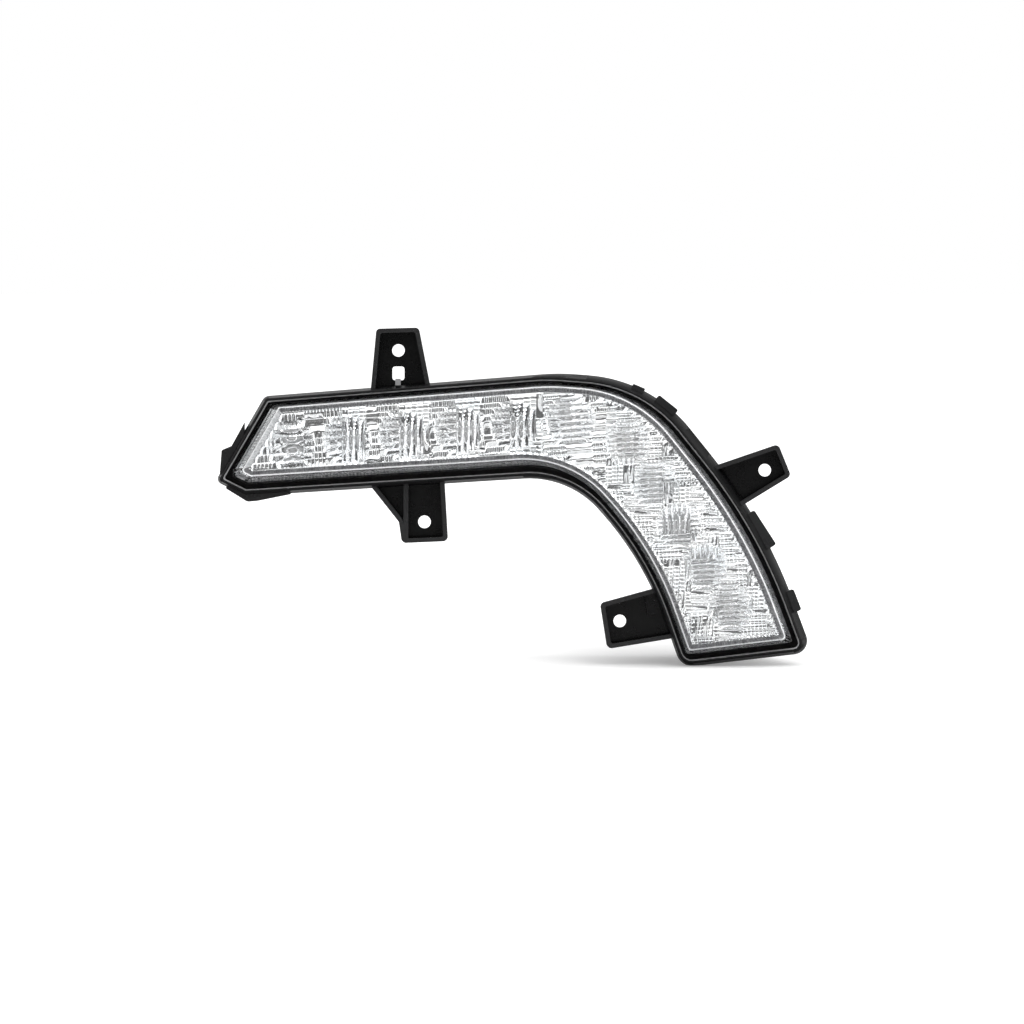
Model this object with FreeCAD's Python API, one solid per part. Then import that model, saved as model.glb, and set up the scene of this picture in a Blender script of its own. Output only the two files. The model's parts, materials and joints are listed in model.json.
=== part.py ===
import FreeCAD, Part
import math
import os
from collections import namedtuple

# Auxiliary driving light in millimetres: an L-shaped lamp with a fluted clear lens.
# The front faces -Y, +X runs along the arm and +Z is up. The origin is the centre of the
# top tab's hole, on the back face of the tabs.

V = FreeCAD.Vector
Corner = namedtuple("Corner", "x z radius band border lean")
Tab = namedtuple("Tab", "corners hole_x hole_z")
Lug = namedtuple("Lug", "x1 z1 x2 z2 reach")
Block = namedtuple("Block", "width flutes_lie_along pitch")

# Rim seen from the front, anticlockwise from the left tip. Band is the width of the rim along
# the edge that leaves the corner, border the width of the lens's edge inside that band, and lean
# how far the lens's side wall leans in over its height.
RIM_CORNERS = (
    Corner(-94.6, -67.8, 3.0, 3.4, 10.3, 3.0),
    Corner(-79.1, -75.6, 4.2, 3.4, 9.5, 2.3),
    Corner(88.3, -65.1, 47.9, 3.1, 6.9, 2.3),
    Corner(126.9, -108.6, 165.0, 2.8, 6.5, 2.3),
    Corner(146.6, -164.3, 8.3, 3.6, 8.1, 2.3),
    Corner(214.4, -156.4, 7.2, 5.4, 8.5, 3.2),
    Corner(189.0, -88.0, 275.0, 5.9, 8.0, 3.2),
    Corner(130.9, -15.5, 74.0, 4.4, 6.0, 2.3),
    Corner(82.9, -11.8, 112.0, 3.5, 6.2, 2.3),
    Corner(-69.1, -23.8, 4.2, 3.6, 9.3, 5.0),
)
LEAST_RADIUS = 1.2
LARGEST_ARC_SHARE = 0.98
SEWING_TOLERANCE = 1e-6

# Levels of the housing, measured from the back face of the tabs
RIM_HEIGHT = 14.0
RIM_LAND = 2.0
RIM_CHAMFER = 0.6
RIM_FLANK_DEPTH = 7.0
GROOVE_DEPTH = 9.0
GROOVE_WIDTH = 3.0
SHELF_WIDTH = 1.8
WALL = 2.5
TUB_DEPTH = 24.0
TUB_DRAFT = 3.2
TUB_BEVEL = 2.0

# Tabs: trays open to the front
TAB_FLOOR = 2.5
TAB_WALL = 2.3
TAB_HEIGHT = 11.0
TAB_HOLE = 6.6
TOP_TAB = Tab(((-14.7, -27.0, 0.0), (18.3, -27.0, 0.0), (10.7, 11.5, 2.1), (-11.2, 10.9, 2.1)), 0.0, 0.0)
LOWER_TAB = Tab(((-13.6, -64.0, 0.0), (-13.6, -71.2, 0.0), (0.4, -88.9, 1.5), (2.0, -99.9, 2.6),
                 (25.8, -98.9, 2.6), (23.8, -64.0, 0.0)), 13.5, -88.9)
INNER_TAB = Tab(((104.4, -131.0, 2.5), (108.2, -154.6, 2.6), (150.8, -147.6, 0.0),
                 (141.5, -120.8, 0.0)), 114.8, -140.3)
RIGHT_TAB = Tab(((153.4, -63.4, 0.0), (167.3, -87.0, 0.0), (203.1, -65.1, 2.5), (196.5, -48.7, 2.5)),
                190.0, -62.1)
TABS = (TOP_TAB, LOWER_TAB, INNER_TAB, RIGHT_TAB)
SLOT_WIDTH = 6.3
SLOT_HEIGHT = 7.2
SLOT_DROP = 11.9
SLOT_RADIUS = 1.5
KEY_WIDTH = 2.8
KEY_REACH = 3.4
DIVIDER_X = 4.1
DIVIDER_WIDTH = 2.5
STEP_WIDTH = 7.0
STEP_RISE = 4.0

# Small pads on the outer edge, each between two points of the rim
EDGE_LUGS = (
    Lug(121.2, -18.4, 127.4, -21.0, 1.0),
    Lug(133.9, -24.6, 143.8, -32.5, 1.7),
    Lug(182.6, -83.8, 194.0, -101.4, 1.8),
    Lug(202.6, -124.2, 206.8, -135.0, 1.9),
)
LUG_INWARD = 4.0
LUG_ROUND_SHARE = 0.6
LUG_FRONT = 10.5
LUG_BACK = 3.0
END_LUG = ((-79.4, -37.6, 0.0), (-86.1, -49.7, 1.0), (-91.2, -51.8, 1.2), (-92.2, -65.0, 1.0),
           (-80.0, -62.0, 0.0))
CORNER_WEB = ((-91.0, -70.4, 1.0), (-77.9, -78.5, 3.0), (-72.6, -78.0, 1.5), (-55.6, -74.6, 0.0),
              (-60.0, -68.0, 0.0))

# Lens
LENS_FIT = 0.3
FLANGE_DROP = 1.0
FLANGE_THICK = 2.0
TONGUE_THICK = 2.2
SEAL_THICK = 1.2
PLATEAU_HEIGHT = 9.0
KNURL_WIDTH = 2.8
LENS_WALL = 2.2
EDGE_ROUND = 1.2
EDGE_STEPS = 3

# Flutes on the lens's inner face: columns along the arm, then rows down the leg
FLUTE_DEPTH = 0.5
FLUTE_BED = 0.5
FLUTE_LIFT = 0.2
FLUTE_GAP = 0.3
LEAST_FLUTE_VOLUME = 4.0
ARM_SLOPE = 4.8
LEG_SLOPE = 2.5
FIELD_LEFT = -86.0
ARM_BLOCKS = (
    Block(38.0, "arm", 4.1), Block(19.5, "arm", 3.4), Block(12.0, "up", 3.0), Block(17.5, "arm", 3.2),
    Block(15.5, "up", 3.1), Block(14.0, "arm", 3.2), Block(12.0, "up", 3.0), Block(15.5, "arm", 3.2),
    Block(17.0, "up", 3.4), Block(14.5, "arm", 2.9), Block(18.0, "arm", 2.9),
)
LEG_ROW_HEIGHT = 13.4
LEG_ROWS = 11
LEG_TOP = -16.0
LEG_BLOCK = 14.5
LEG_BLOCKS_IN_ROW = 7
LEG_PITCH = 2.7
LEG_UPRIGHT_EVERY = 3

# Reflector
REFLECTOR_FIT = 0.6
REFLECTOR_FLANGE = 1.4
REFLECTOR_SHEET = 1.4
SHOULDER_HEIGHT = 2.5
KNURL_PITCH = 1.7
KNURL_DEPTH = 1.5
FUNNEL_BACK = 3.0
LED_WINDOW_RADIUS = 3.0

# LED boards
ARM_LED_X = -55.2
ARM_LED_Z = -49.0
ARM_LED_PITCH = 29.0
ARM_LED_COUNT = 6
ARM_FUNNEL_RADIUS = 12.6
LEG_LED_X = 119.0
LEG_LED_Z = -48.0
LEG_LED_PITCH = 25.0
LEG_LED_COUNT = 5
LEG_FUNNEL_RADIUS = 11.4
LEG_TILT = -58.3
LED_SIDE = 3.5
LED_HEIGHT = 1.2
LED_DROP = 0.4
BOARD_THICK = 1.6
BOARD_WIDTH = 18.0
BOARD_END = 8.0
PLATE_THICK = 3.0
PLATE_MARGIN = 1.5
BOARD_SCREW_GAPS_ARM = (0, 2, 4)
BOARD_SCREW_GAPS_LEG = (0, 3)

# Screws and the bosses that take them
SCREW_RADIUS = 1.5
SCREW_HEAD_RADIUS = 2.8
SCREW_HEAD_HEIGHT = 1.8
SCREW_BITE = 6.0
SCREW_FIT = 0.1
BOSS_RADIUS = 3.5

# Ribbon between the boards
RIBBON_WIDTH = 7.0
RIBBON_THICK = 0.3
SOCKET_WIDTH = 9.0
SOCKET_LENGTH = 4.0
SOCKET_HEIGHT = 1.4
RIBBON_ENTRY = 1.5

# Driver board behind the arm, its parts and the connector
DRIVER_PLACE = 101.5
DRIVER_LENGTH = 40.0
DRIVER_WIDTH = 18.0
DRIVER_POST = 5.0
DRIVER_SCREW_INSET = 3.2
COIL_RADIUS = 4.0
COIL_CLEARANCE = 2.1
CAPACITOR_RADIUS = 2.0
CAPACITOR_CLEARANCE = 1.9
CHIP_SIDE = 4.0
CHIP_HEIGHT = 1.2
HEADER_LENGTH = 8.0
HEADER_WIDTH = 3.0
HEADER_FIT = 0.6
HEADER_INSET = 7.0
SHROUD_WIDTH = 22.0
SHROUD_HEIGHT = 13.0
SHROUD_WALL = 1.8
SHROUD_DEPTH = 13.0
KEYWAY_WIDTH = 3.0
KEYWAY_DEPTH = 1.0
PIN_COUNT = 3
PIN_PITCH = 5.0
PIN_SIDE = 1.2
PIN_TIP_SHY = 5.5

# Breathers on the back
VENT_PLACES = ((-58.0, -49.0), (166.0, -124.0))
SPIGOT_RADIUS = 5.0
SPIGOT_BORE = 3.0
SPIGOT_HEIGHT = 4.0
MEMBRANE_THICK = 0.4
CAP_WALL = 1.5
CAP_FIT = 0.2
CAP_TOP = 1.5

# Levels along Y worked out from the sizes above; the back is +Y
rim_y = -RIM_HEIGHT
rim_back_y = -TAB_FLOOR
groove_y = rim_y + GROOVE_DEPTH
flange_y = rim_y + FLANGE_DROP
flange_back_y = flange_y + FLANGE_THICK
shelf_y = flange_back_y + REFLECTOR_FLANGE
plateau_y = flange_y - PLATEAU_HEIGHT
ceiling_y = plateau_y + LENS_WALL
shoulder_y = flange_back_y - SHOULDER_HEIGHT
led_y = FUNNEL_BACK + LED_DROP
board_y = led_y + LED_HEIGHT
plate_y = board_y + BOARD_THICK
plate_back_y = plate_y + PLATE_THICK
tub_floor_y = TUB_DEPTH - WALL
driver_back_y = tub_floor_y - DRIVER_POST
driver_y = driver_back_y - BOARD_THICK
driver_room = driver_y - plate_back_y
shelf_inset = GROOVE_WIDTH + SHELF_WIDTH


def inset(corners, amounts):
    """Corners (x, z, radius) of an anticlockwise outline with each edge moved in by its own amount."""
    lines = []
    for i, (x, z, _) in enumerate(corners):
        next_x, next_z, _ = corners[(i + 1) % len(corners)]
        run = math.hypot(next_x - x, next_z - z)
        along_x, along_z = (next_x - x) / run, (next_z - z) / run
        lines.append((x - along_z * amounts[i], z + along_x * amounts[i], along_x, along_z))
    moved = []
    for i, (_, _, radius) in enumerate(corners):
        ax, az, ux, uz = lines[i - 1]
        bx, bz, wx, wz = lines[i]
        turn = ux * wz - uz * wx
        reach = ((bx - ax) * wz - (bz - az) * wx) / turn
        change = (amounts[i - 1] + amounts[i]) / 2
        rounded = radius - change if turn > 0 else radius + change
        moved.append((ax + ux * reach, az + uz * reach, max(rounded, LEAST_RADIUS)))
    return moved


def rounded_wire(corners, y):
    """Closed wire through the corners at depth y, with a tangent arc at each corner that has a radius."""
    count = len(corners)
    points = [V(x, y, z) for x, z, _ in corners]
    halves, tangents = [], []
    for i, (_, _, radius) in enumerate(corners):
        back = points[i - 1] - points[i]
        onward = points[(i + 1) % count] - points[i]
        half = back.getAngle(onward) / 2
        halves.append(half)
        tangents.append(radius / math.tan(half))
    shares = [1.0] * count
    for i in range(count):
        after = (i + 1) % count
        wanted = tangents[i] + tangents[after]
        room = LARGEST_ARC_SHARE * (points[after] - points[i]).Length
        if wanted > room:
            shares[i] = min(shares[i], room / wanted)
            shares[after] = min(shares[after], room / wanted)
    starts, ends, arcs = [], [], []
    for i, point in enumerate(points):
        back = (points[i - 1] - point).normalize()
        onward = (points[(i + 1) % count] - point).normalize()
        tangent = tangents[i] * shares[i]
        starts.append(point + back * tangent)
        ends.append(point + onward * tangent)
        if tangent > 0:
            radius = tangent * math.tan(halves[i])
            middle = point + (back + onward).normalize() * (radius / math.sin(halves[i]) - radius)
            arcs.append(Part.Arc(starts[i], middle, ends[i]).toShape())
        else:
            arcs.append(None)
    edges = []
    for i, arc in enumerate(arcs):
        if arc:
            edges.append(arc)
        edges.append(Part.makeLine(ends[i], starts[(i + 1) % count]))
    return Part.Wire(edges)


def prism(corners, y1, y2):
    """Solid of an outline between two depths."""
    return Part.Face(rounded_wire(corners, y1)).extrude(V(0, y2 - y1, 0))


def taper(corners1, y1, corners2, y2):
    """Ruled solid from one outline to another with as many corners, edge to matching edge."""
    wire1, wire2 = rounded_wire(corners1, y1), rounded_wire(corners2, y2)
    sides = [Part.makeRuledSurface(a, b) for a, b in zip(wire1.OrderedEdges, wire2.OrderedEdges)]
    shell = Part.Shell(sides + [Part.Face(wire1), Part.Face(wire2)])
    shell.sewShape()
    solid = Part.Solid(shell)
    solid.fixTolerance(SEWING_TOLERANCE)
    if solid.Volume < 0:
        solid.reverse()
    return solid


def rim_outline(amounts):
    """The rim's outline with its edges moved in."""
    return inset([(c.x, c.z, c.radius) for c in RIM_CORNERS], amounts)


def inside_rim(distance):
    """Outline at one distance inside the inner edge of the rim's band."""
    return rim_outline([c.band + distance for c in RIM_CORNERS])


def inside_field(distance):
    """Outline at one distance inside the edge of the fluted field."""
    return rim_outline([c.band + c.border + distance for c in RIM_CORNERS])


def inside_wall(distance, y):
    """Outline at one distance inside the lens's leaning side wall at depth y."""
    left_to_lean = 1 - (flange_y - y) / PLATEAU_HEIGHT
    inner = distance - KNURL_WIDTH
    return rim_outline([c.band + c.border - c.lean * left_to_lean + inner for c in RIM_CORNERS])


def tub_inset(y):
    """Distance of the tub's inner wall from the rim's band at depth y."""
    return shelf_inset + TUB_DRAFT * (y - shelf_y) / (tub_floor_y - shelf_y)


def along(x, z, tilt, forward, sideways=0.0):
    """Point reached from (x, z) by going forward and sideways in a direction tilted from +X."""
    angle = math.radians(tilt)
    return (x + forward * math.cos(angle) - sideways * math.sin(angle),
            z + forward * math.sin(angle) + sideways * math.cos(angle))


def bar(x, z, tilt, start, end, half_width, y1, y2):
    """Straight bar along a tilted line from (x, z), between two lengths and two depths."""
    corners = [along(x, z, tilt, start, -half_width), along(x, z, tilt, end, -half_width),
               along(x, z, tilt, end, half_width), along(x, z, tilt, start, half_width)]
    return prism([(px, pz, 0.0) for px, pz in corners], y1, y2)


def drum(x, z, radius, y1, y2):
    """Round solid along Y."""
    return Part.makeCylinder(radius, y2 - y1, V(x, y1, z), V(0, 1, 0))


def arm_point(forward, sideways=0.0):
    """Point on the arm's line of LEDs."""
    return along(ARM_LED_X, ARM_LED_Z, ARM_SLOPE, forward, sideways)


def leg_point(forward, sideways=0.0):
    """Point on the leg's line of LEDs."""
    return along(LEG_LED_X, LEG_LED_Z, LEG_TILT, forward, sideways)


arm_leds = [arm_point(i * ARM_LED_PITCH) for i in range(ARM_LED_COUNT)]
leg_leds = [leg_point(i * LEG_LED_PITCH) for i in range(LEG_LED_COUNT)]
arm_screws = [arm_point((i + 0.5) * ARM_LED_PITCH) for i in BOARD_SCREW_GAPS_ARM]
leg_screws = [leg_point((i + 0.5) * LEG_LED_PITCH) for i in BOARD_SCREW_GAPS_LEG]
driver_reach = DRIVER_LENGTH / 2 - DRIVER_SCREW_INSET
driver_rise = DRIVER_WIDTH / 2 - DRIVER_SCREW_INSET
driver_screws = [arm_point(DRIVER_PLACE + side * driver_reach, side * driver_rise) for side in (-1, 1)]
pin_places = [arm_point(DRIVER_PLACE + (i - (PIN_COUNT - 1) / 2) * PIN_PITCH) for i in range(PIN_COUNT)]


def tray(tab):
    """Tab moulded as a tray: a floor with walls round it, open to the front."""
    corners = list(tab.corners)
    pocket = inset(corners, [TAB_WALL] * len(corners))
    return prism(corners, -TAB_HEIGHT, 0).cut(prism(pocket, -TAB_HEIGHT, rim_back_y))


def edge_pad(lug):
    """Pad that stands out from the rim's flank between two points of its edge."""
    run = math.hypot(lug.x2 - lug.x1, lug.z2 - lug.z1)
    ux, uz = (lug.x2 - lug.x1) / run, (lug.z2 - lug.z1) / run
    out = lug.reach
    corners = [
        (lug.x2 + uz * LUG_INWARD, lug.z2 - ux * LUG_INWARD, 0.0),
        (lug.x2 - uz * out, lug.z2 + ux * out, out * LUG_ROUND_SHARE),
        (lug.x1 - uz * out, lug.z1 + ux * out, out * LUG_ROUND_SHARE),
        (lug.x1 + uz * LUG_INWARD, lug.z1 - ux * LUG_INWARD, 0.0),
    ]
    return prism(corners, -LUG_FRONT, -LUG_BACK)


def tab_details():
    """Rib across the lower tab, step in the inner tab and key under the top tab's slot."""
    top = max(z for _, z, _ in LOWER_TAB.corners)
    foot = min(z for _, z, _ in LOWER_TAB.corners) + TAB_WALL
    divider = Part.makeBox(DIVIDER_WIDTH, TAB_HEIGHT, top - foot,
                           V(DIVIDER_X - DIVIDER_WIDTH / 2, -TAB_HEIGHT, foot))
    _, foot_left, foot_right, right = INNER_TAB.corners
    slope = math.degrees(math.atan2(foot_right[1] - foot_left[1], foot_right[0] - foot_left[0]))
    middle_x = (INNER_TAB.hole_x + right[0]) / 2
    middle_z = (INNER_TAB.hole_z + right[1]) / 2
    step = bar(middle_x, middle_z, slope, 0, STEP_WIDTH, STEP_WIDTH, -TAB_FLOOR - STEP_RISE, 0)
    step = step.common(prism(list(INNER_TAB.corners), -TAB_HEIGHT, 0))
    slot_foot = -SLOT_DROP - SLOT_HEIGHT / 2
    key = Part.makeBox(KEY_WIDTH, TAB_HEIGHT, KEY_REACH,
                       V(TOP_TAB.hole_x - KEY_WIDTH / 2, -TAB_HEIGHT, slot_foot - KEY_REACH))
    return [divider, step, key]


def slot():
    """Locating slot in the top tab."""
    half_width, half_height = SLOT_WIDTH / 2, SLOT_HEIGHT / 2
    middle_z = TOP_TAB.hole_z - SLOT_DROP
    corners = [(x, middle_z + z, SLOT_RADIUS) for x, z in (
        (-half_width, -half_height), (half_width, -half_height),
        (half_width, half_height), (-half_width, half_height))]
    return prism(corners, -TAB_HEIGHT, TAB_FLOOR)


def make_housing():
    """Black moulding: rim with its channel, tub, tabs, lugs, bosses, shroud and spigots."""
    rim_edge = rim_outline([0.0] * len(RIM_CORNERS))
    flank_y = rim_y + RIM_FLANK_DEPTH
    land_y = rim_y + RIM_CHAMFER
    body = taper(inside_rim(-RIM_LAND), land_y, rim_edge, flank_y)
    bevel_y = TUB_DEPTH - TUB_BEVEL
    outside = [
        taper(inside_rim(RIM_CHAMFER - RIM_LAND), rim_y, inside_rim(-RIM_LAND), land_y),
        prism(rim_edge, flank_y, rim_back_y),
        taper(inside_rim(tub_inset(groove_y) - WALL), groove_y,
              inside_rim(tub_inset(bevel_y) - WALL), bevel_y),
        taper(inside_rim(tub_inset(bevel_y) - WALL), bevel_y,
              inside_rim(tub_inset(TUB_DEPTH) - WALL + TUB_BEVEL), TUB_DEPTH),
        prism(list(END_LUG), -LUG_FRONT, -LUG_BACK),
        prism(list(CORNER_WEB), -LUG_FRONT, -LUG_BACK),
    ]
    outside += [tray(tab) for tab in TABS]
    outside += tab_details()
    outside += [edge_pad(lug) for lug in EDGE_LUGS]
    body = body.multiFuse(outside)
    channel = prism(inside_rim(0), rim_y, groove_y).cut(prism(inside_rim(GROOVE_WIDTH), rim_y, groove_y))
    hollows = [
        channel,
        taper(inside_rim(-RIM_CHAMFER), rim_y, inside_rim(0), land_y),
        prism(inside_rim(GROOVE_WIDTH), rim_y, shelf_y),
        taper(inside_rim(shelf_inset), shelf_y, inside_rim(tub_inset(tub_floor_y)), tub_floor_y),
        slot(),
    ]
    hollows += [drum(tab.hole_x, tab.hole_z, TAB_HOLE / 2, -TAB_HEIGHT, TAB_FLOOR) for tab in TABS]
    for hollow in hollows:
        body = body.cut(hollow)
    posts = [drum(x, z, BOSS_RADIUS, plate_back_y, TUB_DEPTH - WALL / 2) for x, z in arm_screws + leg_screws]
    posts += [drum(x, z, BOSS_RADIUS, driver_back_y, TUB_DEPTH - WALL / 2) for x, z in driver_screws]
    posts += [drum(x, z, SPIGOT_RADIUS, TUB_DEPTH - WALL / 2, TUB_DEPTH + SPIGOT_HEIGHT)
              for x, z in VENT_PLACES]
    posts.append(make_shroud())
    body = body.multiFuse(posts)
    bores = [drum(x, z, SCREW_RADIUS + SCREW_FIT, plate_back_y, plate_back_y + SCREW_BITE)
             for x, z in arm_screws + leg_screws]
    bores += [drum(x, z, SCREW_RADIUS + SCREW_FIT, driver_back_y, driver_back_y + SCREW_BITE)
              for x, z in driver_screws]
    bores += [drum(x, z, SPIGOT_BORE, tub_floor_y, TUB_DEPTH + SPIGOT_HEIGHT) for x, z in VENT_PLACES]
    bores += [pin(x, z) for x, z in pin_places]
    for bore in bores:
        body = body.cut(bore)
    return body.removeSplitter()


def make_shroud():
    """Socket wall of the connector on the back, with a keyway."""
    x, z = arm_point(DRIVER_PLACE)
    back = TUB_DEPTH + SHROUD_DEPTH
    half_length, half_width = SHROUD_WIDTH / 2, SHROUD_HEIGHT / 2
    outer = bar(x, z, ARM_SLOPE, -half_length, half_length, half_width, TUB_DEPTH - WALL / 2, back)
    inner = bar(x, z, ARM_SLOPE, -half_length + SHROUD_WALL, half_length - SHROUD_WALL,
                half_width - SHROUD_WALL, TUB_DEPTH, back)
    key_x, key_z = arm_point(DRIVER_PLACE, half_width - SHROUD_WALL)
    keyway = bar(key_x, key_z, ARM_SLOPE, -KEYWAY_WIDTH / 2, KEYWAY_WIDTH / 2, KEYWAY_DEPTH, TUB_DEPTH, back)
    return outer.cut(inner).cut(keyway)


def pin(x, z):
    """Contact pin from the driver board into the shroud."""
    half = PIN_SIDE / 2
    tip = TUB_DEPTH + SHROUD_DEPTH - PIN_TIP_SHY
    return bar(x, z, ARM_SLOPE, -half, half, half, driver_back_y, tip)


def flute_comb(x, z, run, rise_angle, height, pitch, upright):
    """Block of rounded flutes: crests run along the block's slope, or straight up if upright."""
    bed_y = ceiling_y - FLUTE_BED
    slope = math.tan(math.radians(rise_angle))
    run -= FLUTE_GAP
    height -= FLUTE_GAP
    side = V(run, 0, run * slope) if upright else V(0, 0, height)
    sweep = V(0, 0, height) if upright else V(run, 0, run * slope)
    length = side.Length
    count = max(1, round(length / pitch))
    step = side / count
    origin = V(x, 0, z)
    valley = V(0, ceiling_y + FLUTE_LIFT, 0)
    crest = valley + V(0, FLUTE_DEPTH, 0)
    edges = []
    for i in range(count):
        start = origin + step * i
        edges.append(Part.Arc(start + valley, start + step / 2 + crest, start + step + valley).toShape())
    first, last = origin + V(0, bed_y, 0), origin + side + V(0, bed_y, 0)
    edges.append(Part.makeLine(origin + side + valley, last))
    edges.append(Part.makeLine(last, first))
    edges.append(Part.makeLine(first, origin + valley))
    return Part.Face(Part.Wire(edges)).extrude(sweep)


def flute_blocks():
    """All blocks of flutes, laid over the field before it trims them."""
    blocks = []
    x = FIELD_LEFT
    slope = math.tan(math.radians(ARM_SLOPE))
    field_z = [z for _, z, _ in inside_field(0)]
    height = (max(field_z) - min(field_z)) / 2
    for block in ARM_BLOCKS:
        z = ARM_LED_Z + (x - ARM_LED_X) * slope - height / 2
        blocks.append(flute_comb(x, z, block.width, ARM_SLOPE, height, block.pitch,
                                 block.flutes_lie_along == "up"))
        x += block.width
    for row in range(LEG_ROWS):
        row_z = LEG_TOP - (row + 1) * LEG_ROW_HEIGHT
        for i in range(LEG_BLOCKS_IN_ROW):
            block_x = x + i * LEG_BLOCK
            z = row_z + i * LEG_BLOCK * math.tan(math.radians(LEG_SLOPE))
            blocks.append(flute_comb(block_x, z, LEG_BLOCK, LEG_SLOPE, LEG_ROW_HEIGHT, LEG_PITCH,
                                     (row * row + i) % LEG_UPRIGHT_EVERY == 0))
    field = prism(inside_field(0), plateau_y, shoulder_y)
    trimmed = [block.common(field) for block in blocks]
    return [solid for shape in trimmed for solid in shape.Solids if solid.Volume > LEAST_FLUTE_VOLUME]


def make_lens():
    """Clear cover: flange and tongue in the channel, leaning side wall, plateau with flutes inside."""
    flange = prism(inside_rim(LENS_FIT), flange_y, flange_back_y)
    tongue_back = groove_y - SEAL_THICK
    tongue = prism(inside_rim(LENS_FIT), flange_back_y, tongue_back).cut(
        prism(inside_rim(LENS_FIT + TONGUE_THICK), flange_back_y, tongue_back))
    round_y = plateau_y + EDGE_ROUND
    steps = [taper(inside_wall(0, flange_back_y), flange_back_y, inside_wall(0, round_y), round_y)]
    previous, previous_y = inside_wall(0, round_y), round_y
    for i in range(1, EDGE_STEPS + 1):
        angle = math.radians(90 * i / EDGE_STEPS)
        y = round_y - EDGE_ROUND * math.sin(angle)
        outline = inside_wall(EDGE_ROUND * (1 - math.cos(angle)), round_y)
        steps.append(taper(previous, previous_y, outline, y))
        previous, previous_y = outline, y
    shell = flange.multiFuse([tongue] + steps)
    hollow = taper(inside_wall(LENS_WALL, flange_back_y), flange_back_y,
                   inside_wall(LENS_WALL, ceiling_y), ceiling_y)
    return shell.cut(hollow).multiFuse(flute_blocks())


def make_lens_seal():
    """Bead of sealant between the tongue and the channel floor."""
    top = groove_y - SEAL_THICK
    return prism(inside_rim(0), top, groove_y).cut(prism(inside_rim(GROOVE_WIDTH), top, groove_y))


def knurled_wire(outer, inner, y):
    """Zigzag wire between two outlines, with teeth of nearly even pitch."""
    outer_wire, inner_wire = rounded_wire(outer, y), rounded_wire(inner, y)
    count = 2 * round(outer_wire.Length / KNURL_PITCH)
    tips = outer_wire.discretize(count + 1)[:-1]
    roots = inner_wire.discretize(count + 1)[:-1]
    points = [tips[i] if i % 2 == 0 else roots[i] for i in range(count)]
    return Part.makePolygon(points + points[:1])


def make_reflector():
    """Metallised tray: flange on the channel's shelf, knurled shoulder and a funnel for each LED."""
    tips = inside_wall(LENS_WALL + REFLECTOR_FIT, shoulder_y)
    roots = inside_wall(LENS_WALL + REFLECTOR_FIT + KNURL_DEPTH, shoulder_y)
    sheet_back = shoulder_y + REFLECTOR_SHEET
    top = Part.Face(knurled_wire(tips, roots, shoulder_y)).extrude(V(0, REFLECTOR_SHEET, 0))
    skirt_in = inside_wall(LENS_WALL + REFLECTOR_FIT + KNURL_DEPTH + REFLECTOR_SHEET, shoulder_y)
    skirt = prism(roots, sheet_back, shelf_y).cut(prism(skirt_in, sheet_back, shelf_y))
    flange = prism(inside_rim(GROOVE_WIDTH + REFLECTOR_FIT), flange_back_y, shelf_y)
    flange = flange.cut(prism(skirt_in, flange_back_y, shelf_y))
    shells, hollows = [], []
    for places, radius in ((arm_leds, ARM_FUNNEL_RADIUS), (leg_leds, LEG_FUNNEL_RADIUS)):
        for x, z in places:
            start = V(x, shoulder_y, z)
            depth = FUNNEL_BACK - shoulder_y
            shells.append(Part.makeCone(radius + REFLECTOR_SHEET, LED_WINDOW_RADIUS + REFLECTOR_SHEET,
                                        depth, start, V(0, 1, 0)))
            hollows.append(Part.makeCone(radius, LED_WINDOW_RADIUS, depth, start, V(0, 1, 0)))
    tray_shape = top.multiFuse([skirt, flange] + shells)
    for hollow in hollows:
        tray_shape = tray_shape.cut(hollow)
    return tray_shape


def strip(point_tilt, led_pitch, count, margin, y1, y2):
    """Strip under a row of LEDs, longer and wider than the board by the margin."""
    x, z, tilt = point_tilt
    return bar(x, z, tilt, -BOARD_END - margin, (count - 1) * led_pitch + BOARD_END + margin,
               BOARD_WIDTH / 2 + margin, y1, y2)


arm_line = (ARM_LED_X, ARM_LED_Z, ARM_SLOPE)
leg_line = (LEG_LED_X, LEG_LED_Z, LEG_TILT)


def drilled(shape, places, y1, y2):
    """Shape with a clearance hole for a screw at each place."""
    for x, z in places:
        shape = shape.cut(drum(x, z, SCREW_RADIUS + SCREW_FIT, y1, y2))
    return shape


def make_board(line, pitch, count, screws):
    """LED circuit board."""
    return drilled(strip(line, pitch, count, 0, board_y, plate_y), screws, board_y, plate_y)


def make_plate(line, pitch, count, screws):
    """Heat-spreading plate behind a board."""
    plain = strip(line, pitch, count, PLATE_MARGIN, plate_y, plate_back_y)
    return drilled(plain, screws, plate_y, plate_back_y)


def header_bar(fit):
    """Bar from the driver board to the arm board, grown by a clearance."""
    x, z = arm_point(DRIVER_PLACE - DRIVER_LENGTH / 2 + HEADER_INSET)
    half_length, half_width = HEADER_LENGTH / 2 + fit, HEADER_WIDTH / 2 + fit
    return bar(x, z, ARM_SLOPE, -half_length, half_length, half_width, plate_y, driver_y)


def make_leds(places, tilt):
    """LED packages on one board."""
    half = LED_SIDE / 2
    return Part.makeCompound([bar(x, z, tilt, -half, half, half, led_y, board_y) for x, z in places])


def screw(x, z, seat_y, grip):
    """Pan-head screw with its head in front of the seat."""
    head = drum(x, z, SCREW_HEAD_RADIUS, seat_y - SCREW_HEAD_HEIGHT, seat_y)
    return head.fuse(drum(x, z, SCREW_RADIUS, seat_y, seat_y + grip + SCREW_BITE - SCREW_FIT))


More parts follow.
